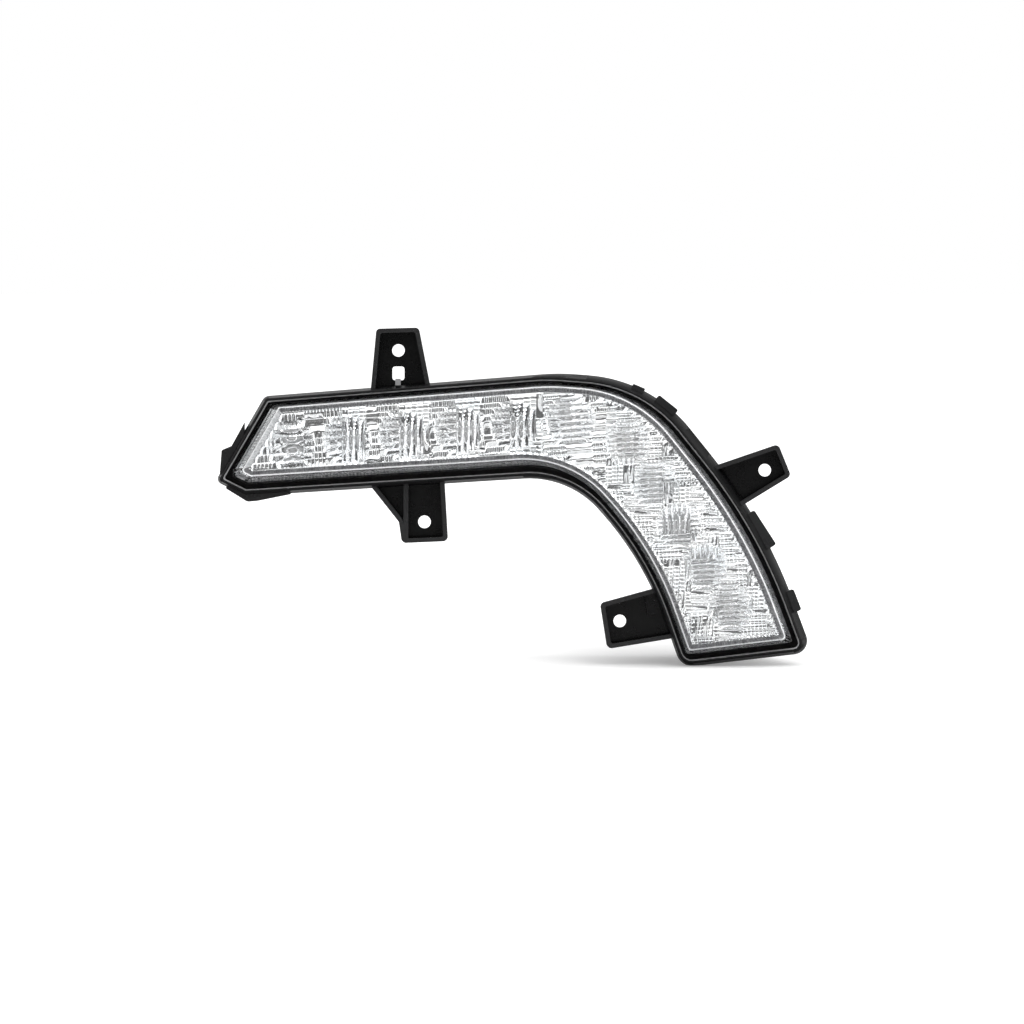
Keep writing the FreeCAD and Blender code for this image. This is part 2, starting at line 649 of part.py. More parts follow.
def socket_ends():
    """Places of the ribbon's two sockets, at the neighbouring ends of the boards, with their tilt."""
    arm_end = (ARM_LED_COUNT - 1) * ARM_LED_PITCH + BOARD_END - SOCKET_LENGTH / 2
    leg_end = -BOARD_END + SOCKET_LENGTH / 2
    return (arm_point(arm_end), ARM_SLOPE), (leg_point(leg_end), LEG_TILT)


def make_ribbon():
    """Flat cable from one socket to the other."""
    (arm_x, arm_z), arm_tilt = socket_ends()[0]
    (leg_x, leg_z), leg_tilt = socket_ends()[1]
    half = RIBBON_WIDTH / 2
    reach = SOCKET_LENGTH / 2 - RIBBON_ENTRY
    corners = [along(arm_x, arm_z, arm_tilt, reach, -half), along(leg_x, leg_z, leg_tilt, -reach, -half),
               along(leg_x, leg_z, leg_tilt, -reach, half), along(arm_x, arm_z, arm_tilt, reach, half)]
    middle = board_y - SOCKET_HEIGHT / 2
    return prism([(x, z, 0.0) for x, z in corners], middle - RIBBON_THICK / 2, middle + RIBBON_THICK / 2)


def make_sockets():
    """Ribbon sockets on the two boards, each slit for the ribbon."""
    ribbon = make_ribbon()
    half = SOCKET_LENGTH / 2
    blocks = [bar(x, z, tilt, -half, half, SOCKET_WIDTH / 2, board_y - SOCKET_HEIGHT, board_y).cut(ribbon)
              for (x, z), tilt in socket_ends()]
    return Part.makeCompound(blocks)


def make_driver_board():
    """Driver circuit board on its two posts."""
    x, z = arm_point(DRIVER_PLACE)
    half = DRIVER_LENGTH / 2
    plain = bar(x, z, ARM_SLOPE, -half, half, DRIVER_WIDTH / 2, driver_y, driver_back_y)
    return drilled(plain, driver_screws, driver_y, driver_back_y)


def driver_drums(forward_places, sideways, radius, height):
    """Round parts on the front of the driver board."""
    places = [arm_point(DRIVER_PLACE + forward, sideways) for forward in forward_places]
    return Part.makeCompound([drum(x, z, radius, driver_y - height, driver_y) for x, z in places])


def make_chips():
    """Driver chips on the front of the driver board."""
    half = CHIP_SIDE / 2
    places = [arm_point(DRIVER_PLACE + forward, -CHIP_SIDE) for forward in (-CHIP_SIDE, CHIP_SIDE)]
    return Part.makeCompound(
        [bar(x, z, ARM_SLOPE, -half, half, half, driver_y - CHIP_HEIGHT, driver_y) for x, z in places])


def make_vent_cap(x, z):
    """Breather cap over a spigot, resting on its end."""
    end = TUB_DEPTH + SPIGOT_HEIGHT + MEMBRANE_THICK
    inner = SPIGOT_RADIUS + CAP_FIT
    skirt = TUB_DEPTH + CAP_TOP
    return drum(x, z, inner + CAP_WALL, skirt, end + CAP_TOP).cut(drum(x, z, inner, skirt, end))


spigot_end = TUB_DEPTH + SPIGOT_HEIGHT
pieces = {
    "housing": make_housing(),
    "lens": make_lens(),
    "lens_seal": make_lens_seal(),
    "reflector": make_reflector(),
    "arm_board": make_board(arm_line, ARM_LED_PITCH, ARM_LED_COUNT, arm_screws),
    "leg_board": make_board(leg_line, LEG_LED_PITCH, LEG_LED_COUNT, leg_screws),
    "arm_plate": make_plate(arm_line, ARM_LED_PITCH, ARM_LED_COUNT, arm_screws).cut(header_bar(HEADER_FIT)),
    "leg_plate": make_plate(leg_line, LEG_LED_PITCH, LEG_LED_COUNT, leg_screws),
    "arm_leds": make_leds(arm_leds, ARM_SLOPE),
    "leg_leds": make_leds(leg_leds, LEG_TILT),
    "board_screws": Part.makeCompound(
        [screw(x, z, board_y, BOARD_THICK + PLATE_THICK) for x, z in arm_screws + leg_screws]),
    "link_ribbon": make_ribbon(),
    "ribbon_sockets": make_sockets(),
    "driver_board": make_driver_board(),
    "driver_coil": driver_drums([0], DRIVER_WIDTH / 2 - COIL_RADIUS, COIL_RADIUS,
                                driver_room - COIL_CLEARANCE),
    "driver_capacitors": driver_drums([-COIL_RADIUS * 2, COIL_RADIUS * 2], DRIVER_WIDTH / 2 - COIL_RADIUS,
                                      CAPACITOR_RADIUS, driver_room - CAPACITOR_CLEARANCE),
    "driver_chips": make_chips(),
    "driver_screws": Part.makeCompound([screw(x, z, driver_y, BOARD_THICK) for x, z in driver_screws]),
    "board_header": header_bar(0),
    "terminals": Part.makeCompound([pin(x, z) for x, z in pin_places]),
    "vent_caps": Part.makeCompound([make_vent_cap(x, z) for x, z in VENT_PLACES]),
    "vent_membranes": Part.makeCompound(
        [drum(x, z, SPIGOT_RADIUS, spigot_end, spigot_end + MEMBRANE_THICK) for x, z in VENT_PLACES]),
}

os.makedirs("parts", exist_ok=True)
for name, shape in pieces.items():
    shape.exportStep("parts/" + name + ".step")
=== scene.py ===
import json
import math
import bpy
import numpy as np
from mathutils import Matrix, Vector
from typing import NamedTuple

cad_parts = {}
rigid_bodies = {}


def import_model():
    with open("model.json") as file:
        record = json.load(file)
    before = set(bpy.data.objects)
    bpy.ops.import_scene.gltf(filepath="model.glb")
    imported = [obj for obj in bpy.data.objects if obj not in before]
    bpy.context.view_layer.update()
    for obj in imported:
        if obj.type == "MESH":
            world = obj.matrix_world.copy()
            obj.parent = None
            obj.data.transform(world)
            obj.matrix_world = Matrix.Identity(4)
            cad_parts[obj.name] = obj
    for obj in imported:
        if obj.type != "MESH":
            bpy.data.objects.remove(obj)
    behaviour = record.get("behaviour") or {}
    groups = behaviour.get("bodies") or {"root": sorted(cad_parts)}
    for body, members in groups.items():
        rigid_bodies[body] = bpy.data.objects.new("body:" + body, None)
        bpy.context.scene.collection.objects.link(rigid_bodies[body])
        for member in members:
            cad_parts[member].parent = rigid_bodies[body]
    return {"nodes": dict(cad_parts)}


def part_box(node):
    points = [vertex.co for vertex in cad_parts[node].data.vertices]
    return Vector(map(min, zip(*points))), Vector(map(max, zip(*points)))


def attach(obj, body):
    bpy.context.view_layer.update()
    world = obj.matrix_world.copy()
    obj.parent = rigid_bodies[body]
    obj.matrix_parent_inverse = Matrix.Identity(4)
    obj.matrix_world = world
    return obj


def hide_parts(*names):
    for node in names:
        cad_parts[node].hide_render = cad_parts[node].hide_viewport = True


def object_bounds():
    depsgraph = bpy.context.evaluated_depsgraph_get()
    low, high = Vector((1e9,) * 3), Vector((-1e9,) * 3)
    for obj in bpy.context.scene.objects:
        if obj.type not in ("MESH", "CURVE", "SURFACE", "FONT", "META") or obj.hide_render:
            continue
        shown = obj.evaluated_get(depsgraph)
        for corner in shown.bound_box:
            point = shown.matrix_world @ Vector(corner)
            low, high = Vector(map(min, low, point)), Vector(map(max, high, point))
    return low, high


for start_object in list(bpy.data.objects):
    bpy.data.objects.remove(start_object)
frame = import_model()
CAD_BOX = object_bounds()

bl_info = {
    "name": "Driving Light",
    "version": (1, 0, 0),
    "blender": (4, 5, 0),
    "location": "3D View > Sidebar > Driving Light",
    "description": "Finishes of an L-shaped driving light with a fluted lens, and its studio",
    "category": "Object",
}

MILLIMETRE = 0.001

# Depths of the lamp's planes in metres, with its front towards -Y
RIM_PLANE_Y = -14 * MILLIMETRE
TAB_FRONT_Y = -11 * MILLIMETRE
FLANK_BACK_Y = 2 * MILLIMETRE
SHEET_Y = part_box("reflector")[0].y
FLANGE_BACK_Y = SHEET_Y + 2.5 * MILLIMETRE
FUNNEL_BACK_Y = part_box("reflector")[1].y
BORDER_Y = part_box("lens")[0].y + 1.6 * MILLIMETRE


class RimCorner(NamedTuple):
    """Corner of the rim's outline, and the widths along the edge that leaves it, in millimetres"""
    x: float
    z: float
    radius: float
    rim_width: float
    lens_border: float
    wall_lean: float


class LedRow(NamedTuple):
    """Row of LEDs, with its tilt in degrees and its other sizes in millimetres"""
    start_x: float
    start_z: float
    tilt: float
    pitch: float
    count: int
    funnel_radius: float


# The rim's outline as in the solid model, anticlockwise from the left tip
RIM_CORNERS = (
    RimCorner(-94.6, -67.8, 3.0, 3.4, 10.3, 3.0),
    RimCorner(-79.1, -75.6, 4.2, 3.4, 9.5, 2.3),
    RimCorner(88.3, -65.1, 47.9, 3.1, 6.9, 2.3),
    RimCorner(126.9, -108.6, 165.0, 2.8, 6.5, 2.3),
    RimCorner(146.6, -164.3, 8.3, 3.6, 8.1, 2.3),
    RimCorner(214.4, -156.4, 7.2, 5.4, 8.5, 3.2),
    RimCorner(189.0, -88.0, 275.0, 5.9, 8.0, 3.2),
    RimCorner(130.9, -15.5, 74.0, 4.4, 6.0, 2.3),
    RimCorner(82.9, -11.8, 112.0, 3.5, 6.2, 2.3),
    RimCorner(-69.1, -23.8, 4.2, 3.6, 9.3, 5.0),
)
LEAST_RADIUS = 1.2
LARGEST_ARC_SHARE = 0.98
FINE_STEPS = 64

# The facings of the rim's inner edge, its chamfer in millimetres, and of the small key under the top slot,
# both facings painted light grey as highlights
RIM_CHAMFER = 0.6
KEY_HALF_WIDTH = 1.4 * MILLIMETRE
KEY_TOP_Z = -14.9 * MILLIMETRE
KEY_FOOT_Z = -18.3 * MILLIMETRE
SKIN = 0.12 * MILLIMETRE

# The housing's finish: limits for the direction of a face, gloss, patches of painted light on the front
# faces, and rounded edges
TILTED_NORMAL_Y = -0.9
FRONTAL_NORMAL_Y = -0.97
UPWARD_LIMIT = 0.3
TAB_WALL_FADE = 2 * MILLIMETRE
FRONT_GLOSS = 0.22
UNDERSIDE_SHARE = 0.2
LIGHT_PATCH_SIZE = 0.02
LIGHT_PATCH_RANGE = (0.5, 1.3)
SHEEN_SIZE = 0.008
PLASTIC_ROUGHNESS = (0.22, 0.34)
WELD_DISTANCE = 2e-6
BEVEL_SEGMENTS = 2
BEVEL_ANGLE = math.radians(35)

# The lens's finish: faces turned further than the limit from the front belong to its side wall
SIDEWAYS_LIMIT = 0.6
CLEAR_ROUGHNESS = 0.015
HAZE_SIZE = 0.02
RIPPLE_SIZE = 0.006
RIPPLE_DEPTH = 0.00002

# The reflector's face: its LEDs, funnels and edge in millimetres, then its finish
ARM_SLOPE = math.radians(4.8)
ARM_LEDS = LedRow(start_x=-55.2, start_z=-49.0, tilt=4.8, pitch=29.0, count=6, funnel_radius=12.6)
LEG_LEDS = LedRow(start_x=119.0, start_z=-48.0, tilt=-58.3, pitch=25.0, count=5, funnel_radius=11.4)
LED_WINDOW = 1.9
FUNNEL_FLOOR = 3.0
FLAT_FADE = 4.0
FACE_MARGIN = -0.4
FACE_EDGE_STEPS = (12, 2)
STREAK_SIZE = 0.01
MIRROR_ROUGHNESS = (0.03, 0.1)
MIRROR_HIGHLIGHT = (0.97, 0.97, 0.97)

# The rings round the reflector and in the lens: millimetres inside the wall, field or rim, then heights
KNURL_WIDTH = 2.8
EDGE_FOOT_IN_WALL = 3.0
EDGE_SHOULDER_IN_WALL = 3.3
RIB_END_IN_FIELD = -0.3
RIB_FOOT_IN_FIELD = -0.2
EDGE_END_IN_FIELD = 0.9
BORDER_OUTSIDE_IN_FIELD = -2.3
BORDER_INSIDE_IN_FIELD = -0.5
LIP_OUTSIDE_IN_FIELD = -2.75
FLANGE_IN_RIM = 3.6
CROWN_HEIGHT = 0.5 * MILLIMETRE
FLANGE_THICK = 1.4 * MILLIMETRE
BORDER_THICK = 0.4 * MILLIMETRE
RIB_PATTERN = (0.0, 0.0, 1.0, 1.0)
HATCH_PATTERN = (0.0, 1.0, 1.0, 0.0)
POINTS_PER_RIB = len(RIB_PATTERN)

# The studio: places and sizes in metres, shades, and the camera's sensor in millimetres
UPRIGHT = (math.radians(90), 0.0, 0.0)
FLOOR_SHADE = 0.86
CARD_SHADE = 0.22
CARD_BEHIND_CAMERA = 0.5
KEY_LAMP_SIZE = (1.6, 0.9)
KEY_LAMP_PLACE = (0.9, -1.1, 1.4)
STRIP_LENGTH = 1.2
STRIP_WIDTH = 0.16
STRIP_AWAY = 1.2
STRIP_AHEAD = 0.1
STRIP_UP = 0.2
SENSOR_WIDTH = 36.0
VIEW_END = 100.0


# Properties

class HousingProperties(bpy.types.PropertyGroup):
    """Black moulding that carries the lamp"""
    colour: bpy.props.FloatVectorProperty(
        name="Colour", description="Colour of the moulded plastic", subtype="COLOR",
        default=(0.0028, 0.0028, 0.003), min=0.0, max=1.0)
    # Painted light: this colour and the rim's share below paint the tops of the tabs' walls, and less so the
    # rim, lighter than the recesses
    front_light_colour: bpy.props.FloatVectorProperty(
        name="Lighter colour", description="Colour of the lighter tops of the tabs' walls", subtype="COLOR",
        default=(0.036, 0.036, 0.037), min=0.0, max=1.0)
    rim_light_share: bpy.props.FloatProperty(
        name="Rim share", description="Lightening of the rim as a share of that of the tabs' walls",
        subtype="FACTOR", default=0.25, min=0.0, max=1.0)
    flank_gloss: bpy.props.FloatProperty(
        name="Flank gloss", description="Gloss of the rim's outer flank on its upper side",
        subtype="FACTOR", default=0.06, min=0.0, max=1.0)
    # Painted highlight: light grey of the facings on the rim's inner edge and on the slot's key
    edge_highlight_colour: bpy.props.FloatVectorProperty(
        name="Edge colour", description="Colour of the polished inner edge of the rim", subtype="COLOR",
        default=(0.38, 0.38, 0.385), min=0.0, max=1.0)
    grain_size: bpy.props.FloatProperty(
        name="Grain size", description="Size of the moulded grain", unit="LENGTH",
        default=0.0006, min=0.0001)
    grain_depth: bpy.props.FloatProperty(
        name="Grain depth", description="Depth of the moulded grain", unit="LENGTH",
        default=0.00004, min=0.0)
    edge_round: bpy.props.FloatProperty(
        name="Edge rounding", description="Width of the rounded moulding edges", unit="LENGTH",
        default=0.0003, min=0.0)


class OpticsProperties(bpy.types.PropertyGroup):
    """Lens, reflector and LEDs"""
    lens_colour: bpy.props.FloatVectorProperty(
        name="Lens colour", description="Tint of the clear lens", subtype="COLOR",
        default=(0.97, 0.98, 0.985), min=0.0, max=1.0)
    lens_index: bpy.props.FloatProperty(
        name="Refractive index", description="Refractive index of the lens", default=1.49, min=1.0, max=2.0)
    wall_frost: bpy.props.FloatProperty(
        name="Wall frost", description="Roughness of the lens's side wall", subtype="FACTOR",
        default=0.1, min=0.0, max=1.0)
    mirror_colour: bpy.props.FloatVectorProperty(
        name="Mirror colour", description="Colour of the metallised reflector", subtype="COLOR",
        default=(0.92, 0.93, 0.94), min=0.0, max=1.0)
    pillow_pitch: bpy.props.FloatProperty(
        name="Pillow pitch", description="Distance between the small pillows of the reflector",
        unit="LENGTH", default=0.002, min=0.0005)
    pillow_height: bpy.props.FloatProperty(
        name="Pillow height", description="Height of the small pillows of the reflector", unit="LENGTH",
        default=0.00008, min=0.0)
    block_size: bpy.props.FloatProperty(
        name="Block size", description="Side of the blocks in which the pillows change direction",
        unit="LENGTH", default=0.0137, min=0.001)
    cross_share: bpy.props.FloatProperty(
        name="Cross share", description="Ripple along a pillow as a share of its height",
        subtype="FACTOR", default=0.12, min=0.0, max=1.0)
    mesh_step: bpy.props.FloatProperty(
        name="Mesh step", description="Spacing of the points on the reflector's face", unit="LENGTH",
        default=0.00048, min=0.0002)
    rib_pitch: bpy.props.FloatProperty(
        name="Rib pitch", description="Distance between the ribs of the reflector's knurled edge",
        unit="LENGTH", default=0.0017, min=0.0005)
    rib_height: bpy.props.FloatProperty(
        name="Rib height", description="Height of the ribs of the knurled edge and the border", unit="LENGTH",
        default=0.0006, min=0.0)
    hatch_height: bpy.props.FloatProperty(
        name="Hatch height", description="Height of the ribs of the reflector's flange", unit="LENGTH",
        default=0.0002, min=0.0)
    flat_boost: bpy.props.FloatProperty(
        name="Flat boost", description="How much higher the pillows are between the funnels",
        default=0.7, min=0.0)
    phosphor_colour: bpy.props.FloatVectorProperty(
        name="Phosphor colour", description="Colour of the LED faces", subtype="COLOR",
        default=(0.8, 0.8, 0.8), min=0.0, max=1.0)


class StageProperties(bpy.types.PropertyGroup):
    """Studio round the lamp"""
    camera_distance: bpy.props.FloatProperty(
        name="Camera distance", description="Distance of the camera from the rim", unit="LENGTH",
        default=2.4, min=0.5)
    view_width: bpy.props.FloatProperty(
        name="View width", description="Width that the camera sees at the rim", unit="LENGTH",
        default=0.5284, min=0.1)
    view_x: bpy.props.FloatProperty(
        name="View centre X", description="Middle of the view along the arm", unit="LENGTH", default=0.0589)
    view_z: bpy.props.FloatProperty(
        name="View centre Z", description="Height of the middle of the view", unit="LENGTH",
        default=-0.0838)
    floor_size: bpy.props.FloatProperty(
        name="Floor size", description="Side of the floor", unit="LENGTH", default=12.0, min=1.0)
    floor_rise: bpy.props.FloatProperty(
        name="Floor rise", description="Angle by which the floor rises behind the lamp", subtype="ANGLE",
        default=math.radians(4.5), min=0.0)
    floor_glow: bpy.props.FloatProperty(
        name="Floor glow", description="Light that the floor adds towards the camera", default=0.9, min=0.0)
    floor_glow_near: bpy.props.FloatProperty(
        name="Floor glow near", description="Light that the floor adds close to the lamp",
        default=0.14, min=0.0)
    shadow_place: bpy.props.FloatVectorProperty(
        name="Shadow place", description="Middle of the floor's dimmer patch, from the view's middle",
        size=2, subtype="XYZ", unit="LENGTH", default=(0.09, 0.05))
    shadow_reach: bpy.props.FloatVectorProperty(
        name="Shadow reach", description="How far the floor's dimmer patch reaches each way",
        size=2, subtype="XYZ", unit="LENGTH", default=(0.16, 0.3))
    sky_level: bpy.props.FloatProperty(
        name="Sky level", description="Strength of the surroundings as a light", default=0.5, min=0.0)
    key_power: bpy.props.FloatProperty(
        name="Key power", description="Power of the large lamp above", unit="POWER", default=13.0, min=0.0)
    strip_power: bpy.props.FloatProperty(
        name="Strip power", description="Power of each strip lamp", unit="POWER", default=3.0, min=0.0)
    card_size: bpy.props.FloatProperty(
        name="Card size", description="Side of the grey card behind the camera", unit="LENGTH",
        default=2.3, min=0.1)


# Node helpers

def new_material(name):
    """Empty node material with its Principled shader wired to the output."""
    material = bpy.data.materials.new(name)
    material.use_nodes = True
    tree = material.node_tree
    tree.nodes.clear()
    output = tree.nodes.new("ShaderNodeOutputMaterial")
    shader = tree.nodes.new("ShaderNodeBsdfPrincipled")
    tree.links.new(shader.outputs["BSDF"], output.inputs["Surface"])
    return material, tree, shader


def noise(tree, size, detail=3.0, stretch=(1.0, 1.0, 1.0)):
    """Noise over the object with features of one size in metres, as a factor."""
    place = tree.nodes.new("ShaderNodeTexCoord")
    mapping = tree.nodes.new("ShaderNodeMapping")
    mapping.inputs["Scale"].default_value = stretch
    texture = tree.nodes.new("ShaderNodeTexNoise")
    texture.inputs["Scale"].default_value = 1.0 / size
    texture.inputs["Detail"].default_value = detail
    tree.links.new(place.outputs["Object"], mapping.inputs["Vector"])
    tree.links.new(mapping.outputs["Vector"], texture.inputs["Vector"])
    return texture.outputs["Fac"]


def ramp(tree, factor, low, high, start=0.35, end=0.65):
    """Colour that goes from low to high with a factor."""
    node = tree.nodes.new("ShaderNodeValToRGB")
    node.color_ramp.elements[0].position = start
    node.color_ramp.elements[1].position = end
    node.color_ramp.elements[0].color = (*low, 1.0)
    node.color_ramp.elements[1].color = (*high, 1.0)
    tree.links.new(factor, node.inputs["Fac"])
    return node.outputs["Color"]


def spread(tree, factor, low, high, start=0.0, end=1.0):
    """Number that goes from low to high while a factor goes from start to end."""
    node = tree.nodes.new("ShaderNodeMapRange")
    node.inputs["From Min"].default_value = start
    node.inputs["From Max"].default_value = end
    node.inputs["To Min"].default_value = low
    node.inputs["To Max"].default_value = high
    tree.links.new(factor, node.inputs["Value"])
    return node.outputs["Result"]


def combined(tree, operation, *values):
    """Result of an operation on factors, each of them a socket or a plain number."""
    node = tree.nodes.new("ShaderNodeMath")
    node.operation = operation
    for value, socket in zip(values, node.inputs):
        if isinstance(value, bpy.types.NodeSocket):
            tree.links.new(value, socket)
        else:
            socket.default_value = value
    return node.outputs[0]


def axes_of(tree, node_type, output):
    """Sockets X, Y and Z of a vector that a new node gives."""
    source = tree.nodes.new(node_type)
    axes = tree.nodes.new("ShaderNodeSeparateXYZ")
    tree.links.new(source.outputs[output], axes.inputs["Vector"])
    return axes.outputs


def bump(tree, shader, height, depth):
    """Relief of one depth in metres on the shader's surface."""
    node = tree.nodes.new("ShaderNodeBump")
    node.inputs["Strength"].default_value = 1.0
    node.inputs["Distance"].default_value = depth
    tree.links.new(height, node.inputs["Height"])
    tree.links.new(node.outputs["Normal"], shader.inputs["Normal"])


def mottled(name, low, high, patch, roughness, grain, depth, metallic=0.0, stretch=(1.0, 1.0, 1.0)):
    """Material whose colour and gloss vary in patches, over a fine grain of one depth."""
    material, tree, shader = new_material(name)
    patches = noise(tree, patch, detail=4.0, stretch=stretch)
    tree.links.new(ramp(tree, patches, low, high), shader.inputs["Base Color"])
    tree.links.new(spread(tree, patches, *roughness), shader.inputs["Roughness"])
    shader.inputs["Metallic"].default_value = metallic
    bump(tree, shader, noise(tree, grain, detail=2.0, stretch=stretch), depth)
    return material


def dull(name, shade):
    """Grey material without gloss."""
    material, tree, shader = new_material(name)
    shader.inputs["Base Color"].default_value = (shade, shade, shade, 1.0)
    shader.inputs["Roughness"].default_value = 1.0
    shader.inputs["Specular IOR Level"].default_value = 0.0
    return material, tree, shader


def dress(material, *nodes):
    """Gives nodes of the frame a material in all their slots."""
    for node in nodes:
        for slot in frame["nodes"][node].material_slots:
            slot.material = material


# Outlines

def moved_in(amounts):
    """Corners (x, z, radius) of the rim's outline in millimetres, each edge moved in by its own amount."""
    corners = np.array([corner[:3] for corner in RIM_CORNERS])
    places = corners[:, :2]
    run = np.roll(places, -1, axis=0) - places
    run /= np.linalg.norm(run, axis=1)[:, None]
    on_line = places + np.stack([-run[:, 1], run[:, 0]], axis=1) * np.array(amounts)[:, None]
    moved = []
    for i, radius in enumerate(corners[:, 2]):
        before, after = run[i - 1], run[i]
        turn = before[0] * after[1] - before[1] * after[0]
        gap = on_line[i] - on_line[i - 1]
        reach = (gap[0] * after[1] - gap[1] * after[0]) / turn
        change = math.copysign((amounts[i - 1] + amounts[i]) / 2, turn)
        moved.append((*(on_line[i - 1] + before * reach), max(radius - change, LEAST_RADIUS)))
    return np.array(moved)


def outline(amounts, counts):
    """Points round the moved-in outline in millimetres, with counts for each arc and the edge after it."""
    corners = moved_in(amounts)
    places, radii = corners[:, :2], corners[:, 2]
    back = np.roll(places, 1, axis=0) - places
    onward = np.roll(places, -1, axis=0) - places
    lengths = np.linalg.norm(onward, axis=1)
    back /= np.linalg.norm(back, axis=1)[:, None]
    onward /= lengths[:, None]
    half = np.arccos(np.sum(back * onward, axis=1)) / 2
    tangent = radii / np.tan(half)
    share = np.minimum(1.0, LARGEST_ARC_SHARE * lengths / (tangent + np.roll(tangent, -1)))
    tangent = tangent * np.minimum(share, np.roll(share, 1))
    starts = places + back * tangent[:, None]
    ends = places + onward * tangent[:, None]
    points = []
    for i, (on_arc, on_edge) in enumerate(counts):
        radius = tangent[i] * math.tan(half[i])
        middle = back[i] + onward[i]
        centre = places[i] + middle / np.linalg.norm(middle) * radius / math.sin(half[i])
        first, last = starts[i] - centre, ends[i] - centre
        sweep = math.atan2(first[0] * last[1] - first[1] * last[0], first @ last)
        for step in range(on_arc):
            angle = sweep * step / on_arc
            turned = (first[0] * math.cos(angle) - first[1] * math.sin(angle),
                      first[0] * math.sin(angle) + first[1] * math.cos(angle))
            points.append(centre + turned)
        following = starts[(i + 1) % len(starts)]
        points += [ends[i] + (following - ends[i]) * step / on_edge for step in range(on_edge)]
    return np.array(points)


def inside_rim(distance):
    """Amounts that move the rim's outline to a distance inside its band."""
    return [corner.rim_width + distance for corner in RIM_CORNERS]


def inside_field(distance):
    """Amounts that move the rim's outline to a distance inside the edge of the fluted field."""
    return [corner.rim_width + corner.lens_border + distance for corner in RIM_CORNERS]


def inside_wall(distance):
    """Amounts that move the rim's outline to a distance inside the foot of the lens's wall."""
    return [corner.rim_width + corner.lens_border - corner.wall_lean - KNURL_WIDTH + distance
            for corner in RIM_CORNERS]


def even_counts(amounts, spacing):
    """Steps on each arc and edge of an outline, in whole ribs, of about one spacing in millimetres."""
    points = outline(amounts, [(FINE_STEPS, FINE_STEPS)] * len(RIM_CORNERS))
    steps = np.linalg.norm(np.roll(points, -1, axis=0) - points, axis=1)
    lengths = steps.reshape(-1, 2, FINE_STEPS).sum(axis=2)
    ribs = np.maximum(1, np.round(lengths / spacing / POINTS_PER_RIB))
    return (POINTS_PER_RIB * ribs).astype(int).tolist()


def within(points, polygon):
    """Which points lie inside a closed polygon."""
    inside = np.zeros(len(points), bool)
    for (x1, z1), (x2, z2) in zip(polygon, np.roll(polygon, -1, axis=0)):
        if z1 == z2:
            continue
        crosses = (points[:, 1] < z1) != (points[:, 1] < z2)
        inside ^= crosses & (points[:, 0] < x1 + (points[:, 1] - z1) * (x2 - x1) / (z2 - z1))
    return inside


def add_piece(name, vertices, faces, material):
    """New smooth mesh piece that rides on the lamp, in one finish."""
    mesh = bpy.data.meshes.new(name)
    mesh.from_pydata(vertices, [], faces)
    mesh.materials.append(material)
    mesh.shade_smooth()
    piece = bpy.data.objects.new(name, mesh)
    bpy.context.collection.objects.link(piece)
    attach(piece, "root")
    return piece


def add_ring(name, rows, counts, material):
    """New closed ring round the lamp: a row of its section is an outline's amounts and its y in metres."""
    vertices = []
    for amounts, y in rows:
        points = outline(amounts, counts) * MILLIMETRE
        depths = np.broadcast_to(y, len(points))
        vertices += np.stack([points[:, 0], depths, points[:, 1]], axis=1).tolist()
    total = len(vertices) // len(rows)
    faces = []
    for row in range(len(rows)):
        here, there = row * total, (row + 1) % len(rows) * total
        for i in range(total):
            after = (i + 1) % total
            faces.append((here + i, here + after, there + after, there + i))
    ring = add_piece(name, vertices, faces, material)
    ring.data.shade_flat()
    return ring


# Pieces

